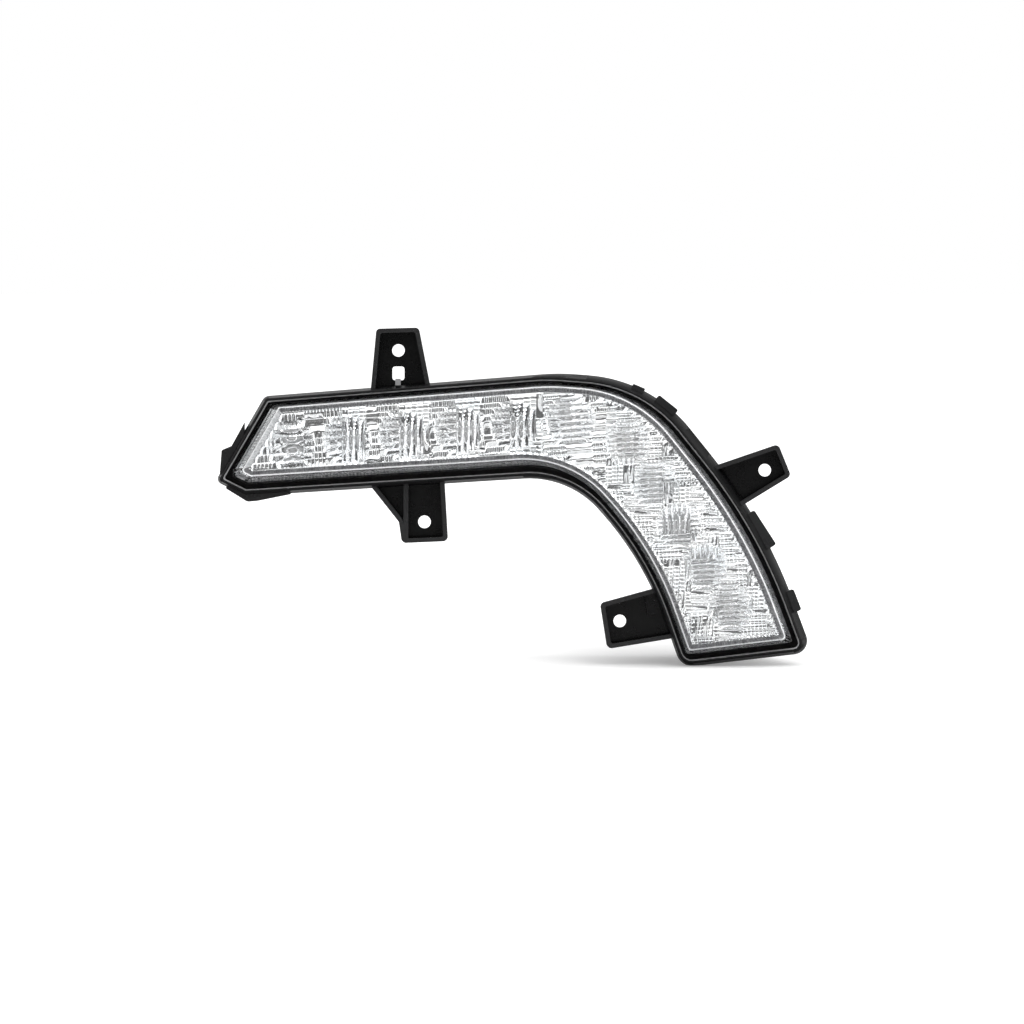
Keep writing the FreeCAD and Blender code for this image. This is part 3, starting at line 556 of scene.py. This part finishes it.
class DRIVINGLIGHT_OT_housing(bpy.types.Operator):
    """Finish the black housing with its moulded grain and rounded edges, painted lighter on its front faces,
    with a painted highlight along the rim's inner edge
    """
    bl_idname = "drivinglight.housing"
    bl_label = "Housing"

    def execute(self, context):
        sizes = context.scene.driving_light_housing
        dress(self.make_plastic(sizes), "housing")
        self.round_edges(frame["nodes"]["housing"], sizes)
        # Painted highlight: light grey facings along the rim's inner edge and on the slot's key
        highlighted = mottled("painted_edge_highlight", low=sizes.edge_highlight_colour, high=sizes.edge_highlight_colour, patch=0.01,
                           roughness=(0.25, 0.4), grain=sizes.grain_size, depth=sizes.grain_depth)
        self.make_rim_edge(highlighted)
        self.make_key(highlighted)
        return {"FINISHED"}

    def make_plastic(self, sizes):
        """Black plastic, with painted light on the fronts of the tabs' walls and less on the rim, and dull on
        the rim's flank.
        """
        material, tree, shader = new_material("housing_plastic")
        place = axes_of(tree, "ShaderNodeTexCoord", "Object")
        normal = axes_of(tree, "ShaderNodeNewGeometry", "True Normal")
        tilted = spread(tree, normal["Y"], 1.0, 0.0, TILTED_NORMAL_Y, FRONTAL_NORMAL_Y)
        # Painted light: faces near the front plane are painted lighter than the recesses, in patches of
        # random strength
        in_front = spread(tree, place["Y"], 0.0, 1.0, TAB_FRONT_Y + TAB_WALL_FADE, TAB_FRONT_Y)
        frontal = spread(tree, tilted, 1.0, sizes.rim_light_share)
        behind_rim = spread(tree, place["Y"], sizes.rim_light_share, 1.0,
                            RIM_PLANE_Y + MILLIMETRE, TAB_FRONT_Y - MILLIMETRE)
        lesser = combined(tree, "MINIMUM", frontal, behind_rim)
        patches = spread(tree, noise(tree, LIGHT_PATCH_SIZE, detail=5.0), *LIGHT_PATCH_RANGE)
        painted_light = combined(tree, "MULTIPLY", combined(tree, "MULTIPLY", in_front, lesser), patches)
        painted_colour = ramp(tree, painted_light, sizes.colour, sizes.front_light_colour, 0.0, 1.0)
        tree.links.new(painted_colour, shader.inputs["Base Color"])
        roughness = spread(tree, noise(tree, SHEEN_SIZE, detail=4.0), *PLASTIC_ROUGHNESS)
        tree.links.new(roughness, shader.inputs["Roughness"])
        before_back = spread(tree, place["Y"], 0.0, 1.0, FLANK_BACK_Y, FLANK_BACK_Y - MILLIMETRE)
        flank = combined(tree, "MULTIPLY", before_back, tilted)
        flank_gloss = spread(tree, normal["Z"], sizes.flank_gloss * UNDERSIDE_SHARE, sizes.flank_gloss,
                             -UPWARD_LIMIT, UPWARD_LIMIT)
        gloss = spread(tree, flank, FRONT_GLOSS, 0.0)
        tree.links.new(flank_gloss, gloss.node.inputs["To Max"])
        tree.links.new(gloss, shader.inputs["Specular IOR Level"])
        bump(tree, shader, noise(tree, sizes.grain_size, detail=2.0), sizes.grain_depth)
        return material

    def round_edges(self, housing, sizes):
        """Joins the faces of the housing and rounds its edges."""
        weld = housing.modifiers.new("Joined faces", "WELD")
        weld.merge_threshold = WELD_DISTANCE
        bevel = housing.modifiers.new("Rounded edges", "BEVEL")
        bevel.width = sizes.edge_round
        bevel.segments = BEVEL_SEGMENTS
        bevel.limit_method = "ANGLE"
        bevel.angle_limit = BEVEL_ANGLE
        bevel.harden_normals = True

    def make_rim_edge(self, material):
        """Facing on the chamfer along the rim's inner edge, painted light grey as a highlight."""
        counts = even_counts(inside_rim(0.0), RIM_CHAMFER * 2)
        chamfer_back = RIM_PLANE_Y + RIM_CHAMFER * MILLIMETRE
        rows = (
            (inside_rim(-RIM_CHAMFER), RIM_PLANE_Y - SKIN),
            (inside_rim(0.0), chamfer_back - SKIN),
            (inside_rim(-RIM_CHAMFER), chamfer_back),
        )
        add_ring("rim_edge", rows, counts, material)

    def make_key(self, material):
        """Facing on the front of the small key under the top tab's slot, in the light grey of the painted
        edge highlight.
        """
        corners = ((-KEY_HALF_WIDTH, KEY_FOOT_Z), (KEY_HALF_WIDTH, KEY_FOOT_Z),
                   (KEY_HALF_WIDTH, KEY_TOP_Z), (-KEY_HALF_WIDTH, KEY_TOP_Z))
        vertices = [(x, y, z) for y in (TAB_FRONT_Y - SKIN, TAB_FRONT_Y + SKIN) for x, z in corners]
        front, back = (0, 1, 2, 3), (4, 5, 6, 7)
        sides = [(front[i - 1], back[i - 1], back[i], front[i]) for i in front]
        faces = [front, back[::-1], *sides]
        add_piece("slot_key", vertices, faces, material).data.shade_flat()


class DRIVINGLIGHT_OT_lens(bpy.types.Operator):
    """Finish the clear lens and the sealant under it"""
    bl_idname = "drivinglight.lens"
    bl_label = "Lens"

    def execute(self, context):
        sizes = context.scene.driving_light_optics
        material, tree, shader = new_material("clear_lens")
        haze = ramp(tree, noise(tree, HAZE_SIZE), sizes.lens_colour, (1.0, 1.0, 1.0))
        tree.links.new(haze, shader.inputs["Base Color"])
        normal = axes_of(tree, "ShaderNodeNewGeometry", "True Normal")
        on_wall = combined(tree, "LESS_THAN", combined(tree, "ABSOLUTE", normal["Y"]), SIDEWAYS_LIMIT)
        frost = spread(tree, on_wall, CLEAR_ROUGHNESS, sizes.wall_frost)
        tree.links.new(frost, shader.inputs["Roughness"])
        shader.inputs["Transmission Weight"].default_value = 1.0
        shader.inputs["IOR"].default_value = sizes.lens_index
        bump(tree, shader, noise(tree, RIPPLE_SIZE, detail=1.0), RIPPLE_DEPTH)
        dress(material, "lens")
        sealant = mottled("sealant", low=(0.012, 0.012, 0.012), high=(0.03, 0.03, 0.03), patch=0.004,
                          roughness=(0.5, 0.75), grain=0.0012, depth=0.0001)
        dress(sealant, "lens_seal")
        return {"FINISHED"}


class DRIVINGLIGHT_OT_reflector(bpy.types.Operator):
    """Make the metallised reflector with its small pillows and knurled edge, and the lens's hatched border"""
    bl_idname = "drivinglight.reflector"
    bl_label = "Reflector"

    def execute(self, context):
        sizes = context.scene.driving_light_optics
        mirror = self.make_mirror(sizes)
        hatched = mottled("hatched_border", low=(0.3, 0.3, 0.31), high=(0.42, 0.42, 0.43), patch=0.003,
                          roughness=(0.25, 0.4), grain=0.0004, depth=0.00003, metallic=1.0)
        silver = mottled("silver_border", low=(0.82, 0.83, 0.84), high=(0.94, 0.94, 0.95), patch=0.003,
                         roughness=(0.45, 0.6), grain=0.0004, depth=0.00003, metallic=1.0)
        face = self.make_face(mirror, sizes)
        self.make_rings(mirror, hatched, silver, sizes)
        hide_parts("reflector")
        return {"FINISHED"}

    def make_mirror(self, sizes):
        """Bright metal with faint streaks."""
        material, tree, shader = new_material("metallised_reflector")
        shader.inputs["Metallic"].default_value = 1.0
        streaks = noise(tree, STREAK_SIZE)
        colour = ramp(tree, streaks, sizes.mirror_colour, MIRROR_HIGHLIGHT)
        tree.links.new(colour, shader.inputs["Base Color"])
        tree.links.new(spread(tree, streaks, *MIRROR_ROUGHNESS), shader.inputs["Roughness"])
        return material

    def make_face(self, material, sizes):
        """Sheet with a funnel for each LED and small pillows all over."""
        step = sizes.mesh_step / MILLIMETRE
        edge = outline(inside_field(FACE_MARGIN), [FACE_EDGE_STEPS] * len(RIM_CORNERS))
        low, high = edge.min(axis=0), edge.max(axis=0)
        columns, rows = (int(n) for n in np.ceil((high - low) / step) + 1)
        x, z = np.meshgrid(low[0] + np.arange(columns) * step, low[1] + np.arange(rows) * step)
        x, z = x.ravel(), z.ravel()
        depth, nearest = self.funnels(x, z)
        boost = 1.0 + sizes.flat_boost * np.clip(1.0 - FLAT_FADE * depth, 0.0, 1.0)
        relief = self.pillows(x, z, sizes) * boost * sizes.pillow_height
        y = SHEET_Y + depth * (FUNNEL_BACK_Y - SHEET_Y) + relief
        shown = within(np.stack([x, z], axis=1), edge) & (nearest > LED_WINDOW)
        number = np.full(len(x), -1)
        number[shown] = np.arange(shown.sum())
        grid = number.reshape(rows, columns)
        corners = np.stack([grid[:-1, :-1], grid[:-1, 1:], grid[1:, 1:], grid[1:, :-1]], axis=-1)
        corners = corners.reshape(-1, 4)
        faces = corners[(corners >= 0).all(axis=1)]
        vertices = np.stack([x * MILLIMETRE, y, z * MILLIMETRE], axis=1)[shown]
        return add_piece("reflector_face", vertices.tolist(), faces.tolist(), material)

    def funnels(self, x, z):
        """Depth of the funnels at each point, from 0 to 1, and the distance to the nearest LED."""
        depth = np.zeros_like(x)
        nearest = np.full_like(x, np.inf)
        for leds in (ARM_LEDS, LEG_LEDS):
            slope = math.radians(leds.tilt)
            wall = leds.funnel_radius - FUNNEL_FLOOR
            for i in range(leds.count):
                led_x = leds.start_x + i * leds.pitch * math.cos(slope)
                led_z = leds.start_z + i * leds.pitch * math.sin(slope)
                away = np.hypot(x - led_x, z - led_z)
                depth = np.maximum(depth, np.clip((leds.funnel_radius - away) / wall, 0.0, 1.0))
                nearest = np.minimum(nearest, away)
        return depth, nearest

    def pillows(self, x, z, sizes):
        """Waves of the pillows at each point, which change direction from block to block."""
        across = x * math.cos(ARM_SLOPE) + z * math.sin(ARM_SLOPE)
        up = z * math.cos(ARM_SLOPE) - x * math.sin(ARM_SLOPE)
        wave = 2 * math.pi * MILLIMETRE / sizes.pillow_pitch
        block = sizes.block_size / MILLIMETRE
        turned = (np.floor(across / block) + np.floor(up / block)) % 2 > 0
        main_way = np.where(turned, up, across)
        cross_way = np.where(turned, across, up)
        return np.cos(wave * main_way) + sizes.cross_share * np.cos(wave * cross_way)

    def make_rings(self, mirror, hatched, silver, sizes):
        """Knurled edge of the sheet with its flange, and the lens's border with its lip."""
        counts = even_counts(inside_field(0.0), sizes.rib_pitch / MILLIMETRE / POINTS_PER_RIB)
        ribs = sum(on_arc + on_edge for on_arc, on_edge in counts) // POINTS_PER_RIB
        rib = np.tile(RIB_PATTERN, ribs) * sizes.rib_height
        hatch = np.tile(HATCH_PATTERN, ribs) * sizes.hatch_height
        crown_y = SHEET_Y - CROWN_HEIGHT
        edge_rows = (
            (inside_wall(EDGE_FOOT_IN_WALL), FLANGE_BACK_Y),
            (inside_wall(EDGE_FOOT_IN_WALL), SHEET_Y),
            (inside_wall(EDGE_SHOULDER_IN_WALL), crown_y - rib),
            (inside_field(RIB_END_IN_FIELD), crown_y - rib),
            (inside_field(RIB_FOOT_IN_FIELD), crown_y),
            (inside_field(EDGE_END_IN_FIELD), SHEET_Y),
            (inside_field(EDGE_END_IN_FIELD), FLANGE_BACK_Y),
        )
        add_ring("reflector_edge", edge_rows, counts, mirror)
        flange_rows = (
            (inside_rim(FLANGE_IN_RIM), FLANGE_BACK_Y - hatch),
            (inside_wall(EDGE_FOOT_IN_WALL), FLANGE_BACK_Y - hatch),
            (inside_wall(EDGE_FOOT_IN_WALL), FLANGE_BACK_Y + FLANGE_THICK),
            (inside_rim(FLANGE_IN_RIM), FLANGE_BACK_Y + FLANGE_THICK),
        )
        border_rows = (
            (inside_field(BORDER_OUTSIDE_IN_FIELD), BORDER_Y - rib),
            (inside_field(BORDER_INSIDE_IN_FIELD), BORDER_Y - rib),
            (inside_field(BORDER_INSIDE_IN_FIELD), BORDER_Y + BORDER_THICK),
            (inside_field(BORDER_OUTSIDE_IN_FIELD), BORDER_Y + BORDER_THICK),
        )
        for name, rows in (("reflector_flange", flange_rows), ("lens_border", border_rows)):
            ring = add_ring(name, rows, counts, hatched)
            # Painted light: the slanted left side of these rings gets the lighter silver
            self.paint_left_side_lighter(ring, counts, silver)
        lip_rows = (
            (inside_field(LIP_OUTSIDE_IN_FIELD), BORDER_Y),
            (inside_field(BORDER_OUTSIDE_IN_FIELD), BORDER_Y - BORDER_THICK),
            (inside_field(BORDER_OUTSIDE_IN_FIELD), BORDER_Y + BORDER_THICK),
        )
        add_ring("border_lip", lip_rows, counts, silver)

    def paint_left_side_lighter(self, ring, counts, silver):
        """Gives a ring a second material, the lighter silver, on the slanted left side, which is the last
        edge of the outline: painted light on that side.
        """
        ring.data.materials.append(silver)
        total = sum(on_arc + on_edge for on_arc, on_edge in counts)
        first_on_left = total - counts[-1][1]
        for polygon in ring.data.polygons:
            polygon.material_index = int(polygon.index % total >= first_on_left)


class DRIVINGLIGHT_OT_boards(bpy.types.Operator):
    """Finish the LED boards, their plates, LEDs, screws and ribbon"""
    bl_idname = "drivinglight.boards"
    bl_label = "LED boards"

    def execute(self, context):
        sizes = context.scene.driving_light_optics
        mask = mottled("white_mask", low=(0.74, 0.74, 0.74), high=(0.83, 0.83, 0.84), patch=0.004,
                       roughness=(0.25, 0.4), grain=0.0008, depth=0.00003)
        dress(mask, "arm_board", "leg_board")
        aluminium = mottled("rolled_aluminium", low=(0.58, 0.59, 0.6), high=(0.74, 0.75, 0.76), patch=0.004,
                            roughness=(0.25, 0.45), grain=0.0005, depth=0.00003, metallic=1.0,
                            stretch=(1.0, 1.0, 12.0))
        dress(aluminium, "arm_plate", "leg_plate")
        phosphor = mottled("phosphor", low=sizes.phosphor_colour, high=(0.87, 0.87, 0.88), patch=0.0015,
                           roughness=(0.2, 0.35), grain=0.0004, depth=0.00005)
        dress(phosphor, "arm_leds", "leg_leds")
        zinc = mottled("zinc", low=(0.45, 0.45, 0.46), high=(0.66, 0.66, 0.67), patch=0.001,
                       roughness=(0.25, 0.45), grain=0.0003, depth=0.00003, metallic=1.0)
        dress(zinc, "board_screws", "driver_screws")
        cable = mottled("flat_cable", low=(0.62, 0.62, 0.64), high=(0.78, 0.78, 0.8), patch=0.001,
                        roughness=(0.4, 0.55), grain=0.0004, depth=0.00005, stretch=(1.0, 1.0, 6.0))
        dress(cable, "link_ribbon")
        ivory = mottled("ivory_moulding", low=(0.6, 0.58, 0.5), high=(0.7, 0.68, 0.6), patch=0.002,
                        roughness=(0.4, 0.55), grain=0.0005, depth=0.00003)
        dress(ivory, "ribbon_sockets")
        return {"FINISHED"}


class DRIVINGLIGHT_OT_driver(bpy.types.Operator):
    """Finish the driver board and the parts on it"""
    bl_idname = "drivinglight.driver"
    bl_label = "Driver"

    def execute(self, context):
        mask = mottled("green_mask", low=(0.01, 0.09, 0.035), high=(0.02, 0.16, 0.06), patch=0.002,
                       roughness=(0.2, 0.4), grain=0.0009, depth=0.00004)
        dress(mask, "driver_board")
        ferrite = mottled("ferrite", low=(0.02, 0.02, 0.021), high=(0.05, 0.05, 0.052), patch=0.001,
                          roughness=(0.5, 0.7), grain=0.0003, depth=0.00005)
        dress(ferrite, "driver_coil")
        can = mottled("capacitor_can", low=(0.5, 0.5, 0.52), high=(0.7, 0.7, 0.72), patch=0.002,
                      roughness=(0.2, 0.35), grain=0.0004, depth=0.00002, metallic=1.0)
        dress(can, "driver_capacitors")
        package = mottled("chip_package", low=(0.012, 0.012, 0.012), high=(0.025, 0.025, 0.025), patch=0.001,
                          roughness=(0.5, 0.65), grain=0.0002, depth=0.00003)
        dress(package, "driver_chips")
        header = mottled("header_moulding", low=(0.015, 0.015, 0.015), high=(0.03, 0.03, 0.03), patch=0.002,
                         roughness=(0.45, 0.6), grain=0.0004, depth=0.00003)
        dress(header, "board_header")
        return {"FINISHED"}


class DRIVINGLIGHT_OT_back(bpy.types.Operator):
    """Finish the contacts of the socket and the breathers on the back"""
    bl_idname = "drivinglight.back"
    bl_label = "Back"

    def execute(self, context):
        contact = mottled("plated_contact", low=(0.52, 0.34, 0.12), high=(0.72, 0.52, 0.24), patch=0.002,
                          roughness=(0.2, 0.4), grain=0.0004, depth=0.00002, metallic=1.0)
        dress(contact, "terminals")
        rubber = mottled("cap_rubber", low=(0.014, 0.014, 0.015), high=(0.03, 0.03, 0.031), patch=0.004,
                         roughness=(0.55, 0.75), grain=0.0005, depth=0.00004)
        dress(rubber, "vent_caps")
        film = mottled("breather_film", low=(0.7, 0.7, 0.7), high=(0.84, 0.84, 0.84), patch=0.001,
                       roughness=(0.6, 0.8), grain=0.0003, depth=0.00005)
        dress(film, "vent_membranes")
        return {"FINISHED"}


# Studio

def make_plane(name, size, location, rotation):
    """Square plane of the stage."""
    half = size / 2
    mesh = bpy.data.meshes.new(name)
    corners = ((-half, -half, 0), (half, -half, 0), (half, half, 0), (-half, half, 0))
    mesh.from_pydata(corners, [], [(0, 1, 2, 3)])
    plane = bpy.data.objects.new(name, mesh)
    plane.location = location
    plane.rotation_euler = rotation
    bpy.context.collection.objects.link(plane)
    return plane


def seen_directly(tree):
    """Factor that is 1 for rays from the camera, a gloss or a clear piece, and 0 for other light."""
    path = tree.nodes.new("ShaderNodeLightPath")
    total = path.outputs["Is Camera Ray"]
    for name in ("Is Glossy Ray", "Is Transmission Ray"):
        total = combined(tree, "MAXIMUM", total, path.outputs[name])
    return total


class DRIVINGLIGHT_OT_stage(bpy.types.Operator):
    """Set up the floor, surroundings, lamps and camera"""
    bl_idname = "drivinglight.stage"
    bl_label = "Studio"

    def execute(self, context):
        sizes = context.scene.driving_light_stage
        self.make_surroundings(context.scene, sizes)
        self.make_floor(sizes)
        self.make_lamps(sizes)
        self.make_camera(context.scene, sizes)
        context.scene.view_settings.view_transform = "Standard"
        return {"FINISHED"}

    def make_surroundings(self, scene, sizes):
        """White surroundings that light the lamp at a plain level, and a grey card behind the camera."""
        world = bpy.data.worlds.new("studio")
        world.use_nodes = True
        scene.world = world
        tree = world.node_tree
        background = tree.nodes["Background"]
        background.inputs["Color"].default_value = (1.0, 1.0, 1.0, 1.0)
        strength = spread(tree, seen_directly(tree), sizes.sky_level, 1.0)
        tree.links.new(strength, background.inputs["Strength"])
        card_y = RIM_PLANE_Y - sizes.camera_distance - CARD_BEHIND_CAMERA
        card = make_plane("grey_card", sizes.card_size, (sizes.view_x, card_y, sizes.view_z), UPRIGHT)
        material, _, _ = dull("grey_cloth", CARD_SHADE)
        card.data.materials.append(material)
        card.visible_camera = False

    def make_floor(self, sizes):
        """Pale floor that reaches white for the camera and keeps the shadow at the foot of the lamp."""
        floor = make_plane("floor", sizes.floor_size, (sizes.view_x, RIM_PLANE_Y, CAD_BOX[0].z),
                           (sizes.floor_rise, 0.0, 0.0))
        material, tree, shader = dull("pale_floor", FLOOR_SHADE)
        shader.inputs["Emission Color"].default_value = (1.0, 1.0, 1.0, 1.0)
        place = tree.nodes.new("ShaderNodeTexCoord")
        mapping = tree.nodes.new("ShaderNodeMapping")
        scale = [1.0 / reach for reach in sizes.shadow_reach]
        mapping.inputs["Scale"].default_value = (*scale, 1.0)
        mapping.inputs["Location"].default_value = (-sizes.shadow_place[0] * scale[0],
                                                    -sizes.shadow_place[1] * scale[1], 0.0)
        near = tree.nodes.new("ShaderNodeTexGradient")
        near.gradient_type = "SPHERICAL"
        tree.links.new(place.outputs["Object"], mapping.inputs["Vector"])
        tree.links.new(mapping.outputs["Vector"], near.inputs["Vector"])
        level = spread(tree, near.outputs["Fac"], sizes.floor_glow, sizes.floor_glow_near)
        glow = combined(tree, "MULTIPLY", level, seen_directly(tree))
        tree.links.new(glow, shader.inputs["Emission Strength"])
        floor.data.materials.append(material)

    def make_lamps(self, sizes):
        """Large soft lamp in front and strip lamps that draw light lines along the moulding's edges."""
        middle = Vector((sizes.view_x, 0.0, sizes.view_z))
        standing = (STRIP_WIDTH, STRIP_LENGTH)
        lying = (STRIP_LENGTH, STRIP_WIDTH)
        lamps = (
            ("key", sizes.key_power, KEY_LAMP_SIZE, KEY_LAMP_PLACE),
            ("left_strip", sizes.strip_power, standing, (-STRIP_AWAY, -STRIP_AHEAD, STRIP_UP)),
            ("right_strip", sizes.strip_power, standing, (STRIP_AWAY, -STRIP_AHEAD, STRIP_UP)),
            ("top_strip", sizes.strip_power, lying, (0.0, -STRIP_AHEAD, STRIP_AWAY)),
        )
        for name, power, size, place in lamps:
            data = bpy.data.lights.new(name, "AREA")
            data.energy = power
            data.shape = "RECTANGLE"
            data.size, data.size_y = size
            lamp = bpy.data.objects.new(name, data)
            lamp.location = middle + Vector(place)
            lamp.rotation_mode = "QUATERNION"
            lamp.rotation_quaternion = (-Vector(place)).to_track_quat("-Z", "Y")
            bpy.context.collection.objects.link(lamp)

    def make_camera(self, scene, sizes):
        """Level camera square to the lamp's front."""
        data = bpy.data.cameras.new("camera")
        data.sensor_width = SENSOR_WIDTH
        data.lens = data.sensor_width * sizes.camera_distance / sizes.view_width
        data.clip_end = VIEW_END
        camera = bpy.data.objects.new("camera", data)
        camera.location = (sizes.view_x, RIM_PLANE_Y - sizes.camera_distance, sizes.view_z)
        camera.rotation_euler = UPRIGHT
        bpy.context.collection.objects.link(camera)
        scene.camera = camera


PIECES = (DRIVINGLIGHT_OT_housing, DRIVINGLIGHT_OT_lens, DRIVINGLIGHT_OT_reflector, DRIVINGLIGHT_OT_boards,
          DRIVINGLIGHT_OT_driver, DRIVINGLIGHT_OT_back, DRIVINGLIGHT_OT_stage)


class DRIVINGLIGHT_PT_sidebar(bpy.types.Panel):
    """Sizes and steps of the driving light"""
    bl_label = "Driving Light"
    bl_idname = "DRIVINGLIGHT_PT_sidebar"
    bl_space_type = "VIEW_3D"
    bl_region_type = "UI"
    bl_category = "Driving Light"

    def draw(self, context):
        for name in GROUPS:
            group = getattr(context.scene, name)
            for prop in group.__annotations__:
                self.layout.prop(group, prop)
        for piece in PIECES:
            self.layout.operator(piece.bl_idname)


GROUPS = {
    "driving_light_housing": HousingProperties,
    "driving_light_optics": OpticsProperties,
    "driving_light_stage": StageProperties,
}
CLASSES = (*GROUPS.values(), *PIECES, DRIVINGLIGHT_PT_sidebar)


def register():
    for cls in CLASSES:
        bpy.utils.register_class(cls)
    for name, group in GROUPS.items():
        setattr(bpy.types.Scene, name, bpy.props.PointerProperty(type=group))


def unregister():
    for name in GROUPS:
        delattr(bpy.types.Scene, name)
    for cls in reversed(CLASSES):
        bpy.utils.unregister_class(cls)


def main():
    """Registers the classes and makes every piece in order."""
    register()
    bpy.ops.drivinglight.housing()
    bpy.ops.drivinglight.lens()
    bpy.ops.drivinglight.reflector()
    bpy.ops.drivinglight.boards()
    bpy.ops.drivinglight.driver()
    bpy.ops.drivinglight.back()
    bpy.ops.drivinglight.stage()


if __name__ == "__main__":
    main()
